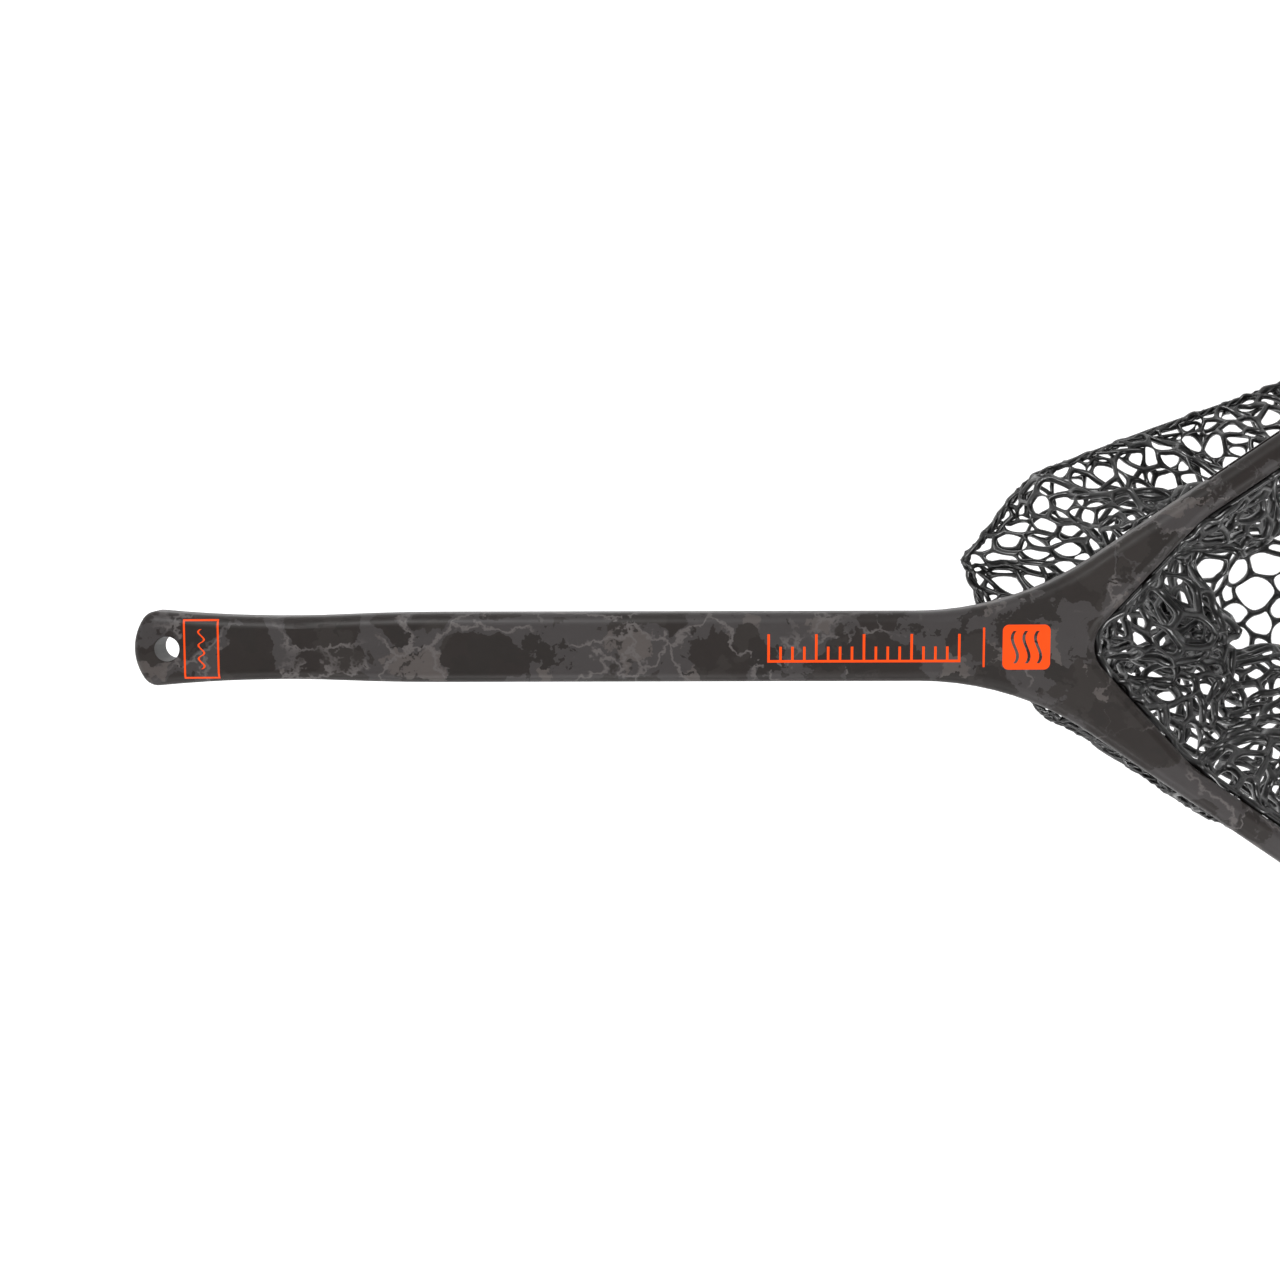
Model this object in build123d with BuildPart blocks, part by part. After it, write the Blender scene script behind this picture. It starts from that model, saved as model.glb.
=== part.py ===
from build123d import *
import os
from math import asin, atan, atan2, cos, degrees, hypot, pi, sin, tan

# Landing net with a one-hand handle: a moulded composite frame (two bonded half shells over a
# foam core), a teardrop hoop, and a moulded rubber mesh bag laced into the hoop's outer groove.
# Millimetres. The origin is the centre of the lanyard hole on the frame's mid-plane; +X runs
# along the handle towards the hoop, +Z comes out of the printed face, the bag hangs towards -Z.

# ---------------------------------------------------------------- driving dimensions: frame plan
handle_length = 462.0  # butt end to the crotch of the fork
hoop_inner_length = 464.0  # crotch to the inside of the hoop's tip
hoop_inner_width = 330.0
arm_width = 14.0  # width of the hoop's bar, seen from above
shoulder_length = 180.13  # long outer arc from the straight arm to the widest place, along X
fork_length = 85.0  # from where the handle starts to open, to the crotch
flare_radius = 150.0
grip_half_width = 16.7
grip_from = 130.0  # from here to the flare the grip's sides are straight
waist_half_width = 15.1  # narrowest place of the grip, behind the butt
waist_at = 56.0
butt_half_width = 18.0
butt_end_radius = 26.0
butt_corner_radius = 8.0
hole_inset = 16.5  # butt end to the centre of the lanyard hole
lanyard_hole_radius = 6.0
lanyard_hole_chamfer = 0.7
crotch_radius = 16.0
crotch_turn = 12.86  # how much steeper than the arm the opening's edge is next to the crotch
crotch_bend_radius = 60.0  # eases that edge into the straight arm

# ---------------------------------------------------------------- driving dimensions: frame section
handle_thickness = 21.0
hoop_thickness = 16.0
thinning_length = 130.0  # length over which the fork thins from the handle to the hoop
edge_radius = 5.4
shell_wall = 1.8
shell_division = 270.0  # the straight grip and the fork with its hoop are separate pieces here
print_depth = 0.25  # how deep the orange prints sit, flush in the clear coat

# ---------------------------------------------------------------- driving dimensions: lacing
groove_width = 4.6
groove_depth = 4.4
groove_from_flare = 66.0  # groove's start, measured along the arm from the end of the flare
lacing_holes_per_side = 19
first_hole = 12.0  # groove's start to the first lacing hole
lacing_hole_radius = 1.7
lacing_radius = 1.0
lacing_depth = 2.2  # depth of the cord's centre below the hoop's outer face
lacing_knot_radius = 1.9
lacing_knot_at = 6.0  # groove's start to the stopper knot
lacing_tail = 3.4  # groove's start to the cord's cut end, behind the knot
loop_shank_radius = 1.2
loop_eye_strand = 0.55  # radius of the loop's strand where it goes round the cord
fit_gap = 0.05

# ---------------------------------------------------------------- driving dimensions: bag
bag_depth = 282.0  # mid-plane of the frame to the bottom seam
bag_skin = 1.2  # thickness of the closed stand-in for the mesh
bag_flare_depth = 118.0  # below this the side wall hangs straight down
rim_bead_radius = 1.6
rim_gap = 0.3  # between the rim bead and the hoop's inner face
floor_length_back = 14.0  # how far the bag's bottom reaches back past the crotch
floor_nose_radius = 70.0
floor_nose_angle = 55.0
floor_bend_radius = 60.0
floor_arm_angle = 20.0
floor_shoulder_radius = 300.0
floor_width = 316.0
floor_tip_inset = 25.0  # bottom's tip, short of the hoop's inner tip
floor_clearance = 0.4  # between the moving bottom seam and the side wall
seam_bead_radius = 1.7
dish_drop = 12.0  # how far the bottom panel sags below its seam
dish_inset = 32.0
dish_lip = 3.0
dish_skin = 1.4

# ---------------------------------------------------------------- driving dimensions: prints
emblem_to_crotch = 34.0
emblem_length = 23.0
emblem_width = 21.6
emblem_corner_radius = 3.0
ripple_rows = 3
ripple_pitch = 5.6
ripple_height = 1.3
ripple_stroke = 1.5
divider_to_emblem = 20.5
divider_width = 1.0
divider_length = 19.0
scale_to_divider = 103.0  # from the first tick
tick_count = 17
tick_pitch = 5.7
tick_width = 1.2
long_tick = 13.0
short_tick = 7.0
long_tick_every = 4
scale_line = 1.2
badge_at = 16.7
badge_length = 17.0
badge_width = 28.6
badge_stroke = 0.9
badge_pitch = 6.4

# ---------------------------------------------------------------- derived plan geometry
butt_x = -hole_inset
crotch_x = butt_x + handle_length
flare_start = crotch_x - fork_length
inner_tip_x = crotch_x + hoop_inner_length
tip_x = inner_tip_x + arm_width
hoop_half_width = hoop_inner_width / 2 + arm_width
widest_x = tip_x - hoop_half_width

corner_x = butt_x + butt_end_radius - (
    (butt_end_radius - butt_corner_radius) ** 2 - (butt_half_width - butt_corner_radius) ** 2
) ** 0.5
corner_y = butt_half_width - butt_corner_radius
butt_turn = degrees(atan2(corner_y, butt_x + butt_end_radius - corner_x))
# The waist is one hollow arc that touches the butt's corner arc and the round of the grip.
waist_rise = waist_half_width - corner_y
waist_radius = ((waist_at - corner_x) ** 2 + waist_rise**2 - butt_corner_radius**2) / (
    2 * (butt_corner_radius - waist_rise)
)
waist_y = waist_half_width + waist_radius
swell = grip_half_width - waist_half_width
round_radius = ((grip_from - waist_at) ** 2 + swell**2) / (2 * swell) - waist_radius
round_y = grip_half_width - round_radius
waist_from = degrees(atan2(waist_y - corner_y, waist_at - corner_x))
waist_to = degrees(atan2(waist_y - round_y, grip_from - waist_at))

flare_centre = (flare_start, grip_half_width + flare_radius)
# The straight arm touches the flare from below, and the shoulder's arc carries it on to the widest
# place over shoulder_length. Newton's method finds the tangent of half its angle.
run_x = widest_x - shoulder_length - flare_centre[0]
run_y = hoop_half_width - flare_centre[1]
half_tan = 0.3
for _ in range(20):
    miss = (
        2 * run_x * half_tan
        - (run_y - shoulder_length * half_tan) * (1 - half_tan**2)
        - flare_radius * (1 + half_tan**2)
    )
    slope = (
        2 * run_x
        + shoulder_length
        - 3 * shoulder_length * half_tan**2
        + 2 * (run_y - flare_radius) * half_tan
    )
    half_tan -= miss / slope
arm_rad = 2 * atan(half_tan)
arm_angle = degrees(arm_rad)
shoulder_radius = shoulder_length / sin(arm_rad)
shoulder_centre = (widest_x, hoop_half_width - shoulder_radius)
arm_start = (
    flare_centre[0] + flare_radius * sin(arm_rad),
    flare_centre[1] - flare_radius * cos(arm_rad),
)
arm_end = (
    shoulder_centre[0] - shoulder_radius * sin(arm_rad),
    shoulder_centre[1] + shoulder_radius * cos(arm_rad),
)
arm_length = hypot(arm_end[0] - arm_start[0], arm_end[1] - arm_start[1])

# Lengths along the hoop's outer face on one side, from the groove's start to the tip.
groove_arm = arm_length - groove_from_flare
groove_shoulder = shoulder_radius * arm_rad
groove_side = groove_arm + groove_shoulder + hoop_half_width * pi / 2
lacing_pitch = (groove_side - first_hole) / (lacing_holes_per_side - 0.5)
eye_radius = lacing_radius + fit_gap + loop_eye_strand
rim_inset = rim_bead_radius + rim_gap
wall_foot = bag_depth + seam_bead_radius
seam_inset = bag_skin / 2 + floor_clearance + seam_bead_radius
panel_inset = seam_inset + seam_bead_radius + fit_gap
floor_tip_x = inner_tip_x - floor_tip_inset
emblem_at = crotch_x - emblem_to_crotch
divider_at = emblem_at - divider_to_emblem
scale_from = divider_at - scale_to_divider


def on_arm(distance, inwards=0.0):
    """Point on the upper arm, along it from the end of the flare and inwards from its outer face."""
    return (
        arm_start[0] + distance * cos(arm_rad) + inwards * sin(arm_rad),
        arm_start[1] + distance * sin(arm_rad) - inwards * cos(arm_rad),
    )


def beyond(distance):
    """Plan region past the cuts that cross both arms squarely at that distance along them."""
    x, y = on_arm(distance)
    side = hoop_half_width + arm_width
    apex = x + y * tan(arm_rad)
    with BuildSketch() as region:
        Polygon(
            (apex, 0),
            (tip_x + arm_width, 0),
            (tip_x + arm_width, side),
            (apex - side * tan(arm_rad), side),
            align=None,
        )
        mirror(about=Plane.XZ)
    return region.sketch


def opening_plan(nose_x, nose_radius, nose_angle, bend_radius, slope, shoulder, half_width, far_x):
    """Teardrop plan: round nose, two edges, long shoulders and a half-round tip at far_x."""
    turn = nose_angle * pi / 180
    lean = slope * pi / 180
    wide_x = far_x - half_width
    nose_end = (nose_x + nose_radius * (1 - sin(turn)), nose_radius * cos(turn))
    edge_end = (wide_x - shoulder * sin(lean), half_width - shoulder * (1 - cos(lean)))
    bend_x = (
        nose_end[1] - edge_end[1] + edge_end[0] * tan(lean) - nose_end[0] * tan(turn)
    ) / (tan(lean) - tan(turn))
    bend = (bend_x, nose_end[1] + (bend_x - nose_end[0]) * tan(turn))
    with BuildSketch() as plan:
        with BuildLine():
            CenterArc((nose_x + nose_radius, 0), nose_radius, 180, nose_angle - 90)
            Line(nose_end, bend)
            Line(bend, edge_end)
            CenterArc((wide_x, half_width - shoulder), shoulder, 90 + slope, -slope)
            CenterArc((wide_x, 0), half_width, 90, -90)
            mirror(about=Plane.XZ)
        make_face()
        corners = plan.vertices().filter_by_position(Axis.X, bend_x - 0.01, bend_x + 0.01)
        fillet(corners, radius=bend_radius)
    return plan.sketch


def grown(plan, amount):
    """The same plan with its outline moved outwards by amount."""
    with BuildSketch() as moved:
        add(plan)
        if amount:
            offset(amount=amount)
    return moved.sketch


# ---------------------------------------------------------------- plans
with BuildSketch() as outline:
    with BuildLine():
        CenterArc((butt_x + butt_end_radius, 0), butt_end_radius, 180, -butt_turn)
        CenterArc(
            (corner_x, corner_y),
            butt_corner_radius,
            180 - butt_turn,
            butt_turn + waist_from - 180,
        )
        CenterArc(
            (waist_at, waist_y),
            waist_radius,
            waist_from - 180,
            180 - waist_from - waist_to,
        )
        CenterArc((grip_from, round_y), round_radius, 180 - waist_to, waist_to - 90)
        Line((grip_from, grip_half_width), (flare_start, grip_half_width))
        CenterArc(flare_centre, flare_radius, -90, arm_angle)
        Line(arm_start, arm_end)
        CenterArc(shoulder_centre, shoulder_radius, 90 + arm_angle, -arm_angle)
        CenterArc((widest_x, 0), hoop_half_width, 90, -90)
        mirror(about=Plane.XZ)
    make_face()

opening = opening_plan(
    crotch_x,
    crotch_radius,
    arm_angle + crotch_turn,
    crotch_bend_radius,
    arm_angle,
    shoulder_radius - arm_width,
    hoop_inner_width / 2,
    inner_tip_x,
)


def frame_blank(inset):
    """The frame's solid form with every face moved inwards by inset."""
    half_handle = handle_thickness / 2 - inset
    half_hoop = hoop_thickness / 2 - inset
    thin_x = flare_start + thinning_length
    thin_drop = half_handle - half_hoop
    thin_radius = (thinning_length**2 + thin_drop**2) / (4 * thin_drop)
    thin_turn = degrees(asin(thinning_length / 2 / thin_radius))
    low_x = butt_x - arm_width
    high_x = tip_x + arm_width
    with BuildPart() as blank:
        with BuildSketch():
            add(grown(outline.sketch, -inset))
            add(grown(opening, inset), mode=Mode.SUBTRACT)
        extrude(amount=handle_thickness, both=True)
        with BuildSketch(Plane.XZ):
            with BuildLine():
                Line((low_x, 0), (low_x, half_handle))
                Line((low_x, half_handle), (flare_start, half_handle))
                CenterArc((flare_start, half_handle - thin_radius), thin_radius, 90, -thin_turn)
                CenterArc((thin_x, half_hoop + thin_radius), thin_radius, -90 - thin_turn, thin_turn)
                Line((thin_x, half_hoop), (high_x, half_hoop))
                Line((high_x, half_hoop), (high_x, 0))
                mirror(about=Plane.XZ)
            make_face()
        extrude(amount=hoop_half_width + arm_width, both=True, mode=Mode.INTERSECT)
        rounded = blank.edges().filter_by(Axis.Z, reverse=True).filter_by(Axis.Y, reverse=True)
        fillet(rounded, radius=edge_radius - inset)
        with BuildSketch(Plane.XY.offset(-groove_width / 2 - inset)):
            add(outline.sketch)
            add(grown(outline.sketch, -groove_depth - inset), mode=Mode.SUBTRACT)
            add(beyond(groove_from_flare - inset), mode=Mode.INTERSECT)
        extrude(amount=groove_width + 2 * inset, mode=Mode.SUBTRACT)
        Cylinder(lanyard_hole_radius + inset, handle_thickness, mode=Mode.SUBTRACT)
        if inset == 0:
            mouths = blank.edges().filter_by(GeomType.CIRCLE).filter_by(
                lambda edge: abs(edge.radius - lanyard_hole_radius) < 0.01
            )
            chamfer(mouths, length=lanyard_hole_chamfer)
    return blank.part


def hoop_frame(station, side, inwards=0.0):
    """Plane on the hoop's outer face at that length along it: X runs inwards and Z upwards."""
    if station < groove_arm:
        x, y = on_arm(groove_from_flare + station)
        facing = 90 + arm_angle
    elif station < groove_arm + groove_shoulder:
        facing = 90 + arm_angle - degrees((station - groove_arm) / shoulder_radius)
        x = shoulder_centre[0] + shoulder_radius * cos(facing * pi / 180)
        y = shoulder_centre[1] + shoulder_radius * sin(facing * pi / 180)
    else:
        past = station - groove_arm - groove_shoulder
        facing = 90 - degrees(past / hoop_half_width)
        x = widest_x + hoop_half_width * cos(facing * pi / 180)
        y = hoop_half_width * sin(facing * pi / 180)
    inward = Vector(-cos(facing * pi / 180), -side * sin(facing * pi / 180), 0)
    return Plane(Vector(x, side * y, 0) + inward * inwards, x_dir=inward, z_dir=(0, 0, 1))


def ripple(x, y, length, height, stroke):
    """Band across the handle in the shape of one water ripple, centred on (x, y)."""
    with BuildSketch() as band:
        with BuildLine():
            for edge_x in (x - stroke / 2, x + stroke / 2):
                Spline(
                    (edge_x, y - length / 2),
                    (edge_x + height, y - length / 4),
                    (edge_x - height, y + length / 4),
                    (edge_x, y + length / 2),
                )
            for end_y in (y - length / 2, y + length / 2):
                Line((x - stroke / 2, end_y), (x + stroke / 2, end_y))
        make_face()
    return band.sketch


def shell_half(region, side):
    """One moulded half shell: the hollow frame inside a region, on one side of the mid-plane."""
    with BuildPart() as half:
        add(frame_shell.part)
        add(region.part, mode=Mode.INTERSECT)
        split(bisect_by=Plane.XY, keep=side)
    return half.part


def inlay(marks):
    """Thin print that follows the front face under those marks, flush with it."""
    with BuildPart() as film:
        with BuildSketch():
            add(marks)
        extrude(amount=handle_thickness)
        add(outer_form, mode=Mode.INTERSECT)
        add(print_form, mode=Mode.SUBTRACT)
    return film.part


def bag_form(grow):
    """The side wall's outer form: flared from the rim, then straight down, moved out by grow."""
    with BuildPart() as form:
        with BuildSketch(Plane.XY.offset(-rim_bead_radius - fit_gap)):
            add(grown(opening, grow - rim_inset))
        with BuildSketch(Plane.XY.offset(-bag_flare_depth)):
            add(grown(floor_plan, grow))
        loft(ruled=True)
        with BuildSketch(Plane.XY.offset(-bag_flare_depth)):
            add(grown(floor_plan, grow))
        extrude(amount=bag_flare_depth - wall_foot)
    return form.part


# ---------------------------------------------------------------- forms that several pieces share
lacing_stations = [first_hole + lacing_pitch * count for count in range(lacing_holes_per_side)]
lacing_places = [(station, side) for station in lacing_stations for side in (1, -1)]

outer_form = frame_blank(0)
core_form = frame_blank(shell_wall)
print_form = frame_blank(print_depth)

with BuildPart() as lacing_drill:
    with Locations([hoop_frame(station, side, arm_width / 2) for station, side in lacing_places]):
        Cylinder(lacing_hole_radius, 2 * arm_width, rotation=(0, 90, 0))

with BuildPart() as handle_region:
    with Locations((shell_division, 0, 0)):
        Box(
            2 * tip_x,
            4 * hoop_half_width,
            4 * handle_thickness,
            align=(Align.MAX, Align.CENTER, Align.CENTER),
        )

with BuildPart() as hoop_region:
    with Locations((shell_division, 0, 0)):
        Box(
            2 * tip_x,
            4 * hoop_half_width,
            4 * handle_thickness,
            align=(Align.MIN, Align.CENTER, Align.CENTER),
        )

with BuildPart() as frame_shell:
    add(outer_form)
    add(core_form, mode=Mode.SUBTRACT)
    add(lacing_drill.part, mode=Mode.SUBTRACT)

# ---------------------------------------------------------------- prints, inlaid in the front face
with BuildSketch() as emblem_marks:
    with Locations((emblem_at, 0)):
        RectangleRounded(emblem_length, emblem_width, emblem_corner_radius)
    for row in range(ripple_rows):
        ripple_x = emblem_at + (row - (ripple_rows - 1) / 2) * ripple_pitch
        ripple_length = emblem_width - 2 * emblem_corner_radius
        add(ripple(ripple_x, 0, ripple_length, ripple_height, ripple_stroke), mode=Mode.SUBTRACT)

with BuildSketch() as divider_marks:
    with Locations((divider_at, 0)):
        Rectangle(divider_width, divider_length)

with BuildSketch() as scale_marks:
    scale_end = scale_from + (tick_count - 1) * tick_pitch
    with Locations(((scale_from + scale_end) / 2, -long_tick / 2)):
        Rectangle(scale_end - scale_from + tick_width, scale_line)
    for tick in range(tick_count):
        tick_height = short_tick if tick % long_tick_every else long_tick
        with Locations((scale_from + tick * tick_pitch, (tick_height - long_tick) / 2)):
            Rectangle(tick_width, tick_height)

with BuildSketch() as badge_marks:
    with Locations((badge_at, 0)):
        Rectangle(badge_length, badge_width)
        Rectangle(
            badge_length - 2 * badge_stroke,
            badge_width - 2 * badge_stroke,
            mode=Mode.SUBTRACT,
        )
    for place in (-1, 0, 1):
        add(
            ripple(
                badge_at,
                place * badge_pitch,
                badge_pitch,
                ripple_height,
                badge_stroke,
            )
        )

with BuildPart() as emblem_inlay:
    add(inlay(emblem_marks.sketch))
emblem_inlay.part.label = "emblem_inlay"

with BuildPart() as divider_inlay:
    add(inlay(divider_marks.sketch))
divider_inlay.part.label = "divider_inlay"

with BuildPart() as scale_marks_inlay:
    add(inlay(scale_marks.sketch))
scale_marks_inlay.part.label = "scale_marks_inlay"

with BuildPart() as badge_inlay:
    add(inlay(badge_marks.sketch))
badge_inlay.part.label = "badge_inlay"

# ---------------------------------------------------------------- half shells and foam core
with BuildPart() as handle_front_shell:
    add(shell_half(handle_region, Keep.TOP))
    add(badge_inlay.part, mode=Mode.SUBTRACT)
handle_front_shell.part.label = "handle_front_shell"

with BuildPart() as handle_back_shell:
    add(shell_half(handle_region, Keep.BOTTOM))
handle_back_shell.part.label = "handle_back_shell"

with BuildPart() as hoop_front_shell:
    add(shell_half(hoop_region, Keep.TOP))
    add([emblem_inlay.part, divider_inlay.part, scale_marks_inlay.part], mode=Mode.SUBTRACT)
hoop_front_shell.part.label = "hoop_front_shell"

with BuildPart() as hoop_back_shell:
    add(shell_half(hoop_region, Keep.BOTTOM))
hoop_back_shell.part.label = "hoop_back_shell"

with BuildPart() as foam_core:
    add(core_form)
    add(lacing_drill.part, mode=Mode.SUBTRACT)
foam_core.part.label = "foam_core"

# ---------------------------------------------------------------- lacing in the hoop's outer groove
with BuildPart() as lacing_cord:
    with BuildLine() as lacing_run:
        Line(
            on_arm(groove_from_flare + lacing_tail, lacing_depth),
            on_arm(arm_length, lacing_depth),
        )
        CenterArc(shoulder_centre, shoulder_radius - lacing_depth, 90 + arm_angle, -arm_angle)
        CenterArc((widest_x, 0), hoop_half_width - lacing_depth, 90, -90)
        mirror(about=Plane.XZ)
    with BuildSketch(Plane(lacing_run.line @ 0, z_dir=lacing_run.line % 0)):
        Circle(lacing_radius)
    sweep()
lacing_cord.part.label = "lacing_cord"

with BuildPart() as lacing_end_knots:
    with Locations([hoop_frame(lacing_knot_at, side, lacing_depth) for side in (1, -1)]):
        Sphere(lacing_knot_radius)
        Cylinder(
            lacing_radius + fit_gap,
            4 * lacing_knot_radius,
            rotation=(90, 0, 0),
            mode=Mode.SUBTRACT,
        )
lacing_end_knots.part.label = "lacing_end_knots"

# ---------------------------------------------------------------- bag: rim with its lacing loops
with BuildPart() as bag_rim:
    rim_rail = grown(opening, -rim_inset).face().outer_wire()
    with BuildSketch(Plane(rim_rail @ 0, z_dir=rim_rail % 0)):
        Circle(rim_bead_radius)
    sweep(path=rim_rail)
    shank_from = lacing_depth + eye_radius
    shank_to = arm_width + rim_inset
    with Locations(
        [hoop_frame(station, side, (shank_from + shank_to) / 2) for station, side in lacing_places]
    ):
        Cylinder(loop_shank_radius, shank_to - shank_from, rotation=(0, 90, 0))
    with Locations([hoop_frame(station, side, lacing_depth) for station, side in lacing_places]):
        Torus(eye_radius, loop_eye_strand, rotation=(90, 0, 0))
bag_rim.part.label = "bag_rim"

# ---------------------------------------------------------------- bag: side wall, seam and bottom
floor_plan = opening_plan(
    crotch_x - floor_length_back,
    floor_nose_radius,
    floor_nose_angle,
    floor_bend_radius,
    floor_arm_angle,
    floor_shoulder_radius,
    floor_width / 2,
    floor_tip_x,
)

with BuildPart() as bag_wall:
    add(bag_form(bag_skin / 2))
    add(bag_form(-bag_skin / 2), mode=Mode.SUBTRACT)
bag_wall.part.label = "bag_wall"

with BuildPart() as bag_seam:
    seam_rail = grown(floor_plan, -seam_inset).face().outer_wire().moved(Pos(Z=-bag_depth))
    with BuildSketch(Plane(seam_rail @ 0, z_dir=seam_rail % 0)):
        Circle(seam_bead_radius)
    sweep(path=seam_rail)
bag_seam.part.label = "bag_seam"

with BuildPart() as bag_floor:
    with BuildSketch(Plane.XY.offset(-bag_depth - dish_skin / 2)):
        add(grown(floor_plan, -panel_inset))
    extrude(amount=dish_skin)
    with BuildSketch(Plane.XY.offset(-bag_depth - dish_skin / 2)):
        add(grown(floor_plan, -panel_inset))
    with BuildSketch(Plane.XY.offset(-bag_depth - dish_skin / 2 - dish_drop)):
        add(grown(floor_plan, -panel_inset - dish_inset))
    loft(ruled=True)
    with BuildSketch(Plane.XY.offset(-bag_depth + dish_skin / 2)):
        add(grown(floor_plan, -panel_inset - dish_lip))
    with BuildSketch(Plane.XY.offset(-bag_depth + dish_skin / 2 - dish_drop)):
        add(grown(floor_plan, -panel_inset - dish_lip - dish_inset))
    loft(ruled=True, mode=Mode.SUBTRACT)
bag_floor.part.label = "bag_floor"

# ---------------------------------------------------------------- write the pieces
os.makedirs("parts", exist_ok=True)
export_step(handle_front_shell.part, "parts/handle_front_shell.step")
export_step(handle_back_shell.part, "parts/handle_back_shell.step")
export_step(hoop_front_shell.part, "parts/hoop_front_shell.step")
export_step(hoop_back_shell.part, "parts/hoop_back_shell.step")
export_step(foam_core.part, "parts/foam_core.step")
export_step(lacing_cord.part, "parts/lacing_cord.step")
export_step(lacing_end_knots.part, "parts/lacing_end_knots.step")
export_step(bag_rim.part, "parts/bag_rim.step")
export_step(bag_wall.part, "parts/bag_wall.step")
export_step(bag_seam.part, "parts/bag_seam.step")
export_step(bag_floor.part, "parts/bag_floor.step")
export_step(emblem_inlay.part, "parts/emblem_inlay.step")
export_step(divider_inlay.part, "parts/divider_inlay.step")
export_step(scale_marks_inlay.part, "parts/scale_marks_inlay.step")
export_step(badge_inlay.part, "parts/badge_inlay.step")
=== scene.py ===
"""Landing net: camouflage composite frame with a moulded rubber mesh bag hanging from its hoop."""

import math

import bmesh
import bpy
import numpy as np
from mathutils import Matrix, Vector
from mathutils.geometry import convex_hull_2d, delaunay_2d_cdt


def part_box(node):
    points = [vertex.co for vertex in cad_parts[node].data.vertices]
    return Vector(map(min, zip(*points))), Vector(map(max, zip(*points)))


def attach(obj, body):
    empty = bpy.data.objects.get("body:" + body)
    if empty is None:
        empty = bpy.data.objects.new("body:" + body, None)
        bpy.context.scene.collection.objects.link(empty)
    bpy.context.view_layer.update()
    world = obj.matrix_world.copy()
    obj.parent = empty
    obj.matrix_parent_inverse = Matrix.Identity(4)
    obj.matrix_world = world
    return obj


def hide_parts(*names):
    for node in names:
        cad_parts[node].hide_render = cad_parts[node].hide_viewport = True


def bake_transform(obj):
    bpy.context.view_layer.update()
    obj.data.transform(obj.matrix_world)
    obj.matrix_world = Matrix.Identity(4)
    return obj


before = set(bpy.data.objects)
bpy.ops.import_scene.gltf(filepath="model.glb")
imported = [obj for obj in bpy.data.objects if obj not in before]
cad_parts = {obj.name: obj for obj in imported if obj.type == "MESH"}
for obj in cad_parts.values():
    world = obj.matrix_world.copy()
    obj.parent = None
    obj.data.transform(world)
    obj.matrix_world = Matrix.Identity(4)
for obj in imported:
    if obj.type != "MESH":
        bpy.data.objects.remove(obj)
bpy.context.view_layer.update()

# ---------------------------------------------------------------- sizes, in metres
CELL = 0.0172  # pitch of the mesh's cells
STRAND = 0.0062  # thickness of a strand's guide, which rounding more than halves
STRAND_BOW = 0.0006  # how far a strand's middle strays from the straight line between its ends
WALL_SKIN = 0.0012  # thickness of the closed wall that the mesh stands for
WALL_ROWS = 20
WALL_COLUMNS = 94
FLARE_DEPTH = 0.118  # below this the side of the bag hangs straight
FORK_GATHER = 0.12  # extra mesh gathered at the fork, as a share of the even spread
FORK_SPREAD = 0.13  # how far along the rim that gathering reaches
FORK_FOLD = 0.155  # how far the loose mesh folds in under the opening next to the fork
BULGE = 0.003  # how far the side may bulge out of its own plan
FOOT_BULGE = 0.008  # the same for its last rows, which stand out over the seam
FLOOR_SAG = 0.010
FLOOR_CRUMPLE = 0.010  # how far the bottom's creases may hang below its sag
CELL_JITTER = 0.13  # unevenness of the cells, as a share of the pitch
ROW_PITCH = 0.866  # distance between a lattice's rows, as a share of the pitch
LONGEST_TIE = 1.5  # longest tie that is at rest as it was laid out, as a share of the pitch
LEVEL_SLACK = 0.0005  # a vertex this near the top or bottom of a node belongs to its outline

# relaxation
HANG_STEPS = 60
TIE_PASSES = 6  # passes over the ties in each step
TIE_PUSH = 1.8  # above 1, so that fewer passes are needed
DRIFT_KEPT = 0.96
SIDE_WEIGHT = 0.00003  # further fall that each step adds
FLOOR_WEIGHT = 0.00001
FIRMNESS = 0.35  # resistance to folding, from 0 to 1
FOLD_LIMIT = 1.35  # distance over a shared side under which folding is resisted, in pitches

# folds that the side starts from
FORK_REACH = (0.28, 0.24)  # how far the fork's fold reaches along the rim towards +Y and towards -Y
FORK_CREST = 0.4  # share of the depth at which that fold is deepest
PLEATS = ((0.31, 0.5), (0.17, 0.8), (0.11, 1.0), (0.072, 0.8), (0.051, 0.4))  # length on the rim, weight
PLEAT_LEAN = 2.2  # greatest slant of a pleat
PLEAT_OFFSET = 2.2  # keeps most of each pleat inwards
PLEAT_DEPTH, FORK_PLEAT_DEPTH = 0.004, 0.011
CREASE_DEPTH = 0.004
FOOT_FROM = 0.78  # share of the depth below which the side may stand out as its last rows do

# waves of the bottom
FLOOR_LATTICE_JITTER = 0.09  # as a share of the pitch
FLOOR_INSET = 0.6  # nearest lattice point to the seam, in pitches
FLOOR_SPARE = 1.15  # shortest tie of the bottom, in pitches
FLOOR_SAG_WIDTH = 0.05
FLOOR_WAVES = ((71, 0.005), (113, 0.006), (167, 0.006))  # radians in each metre, height

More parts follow.
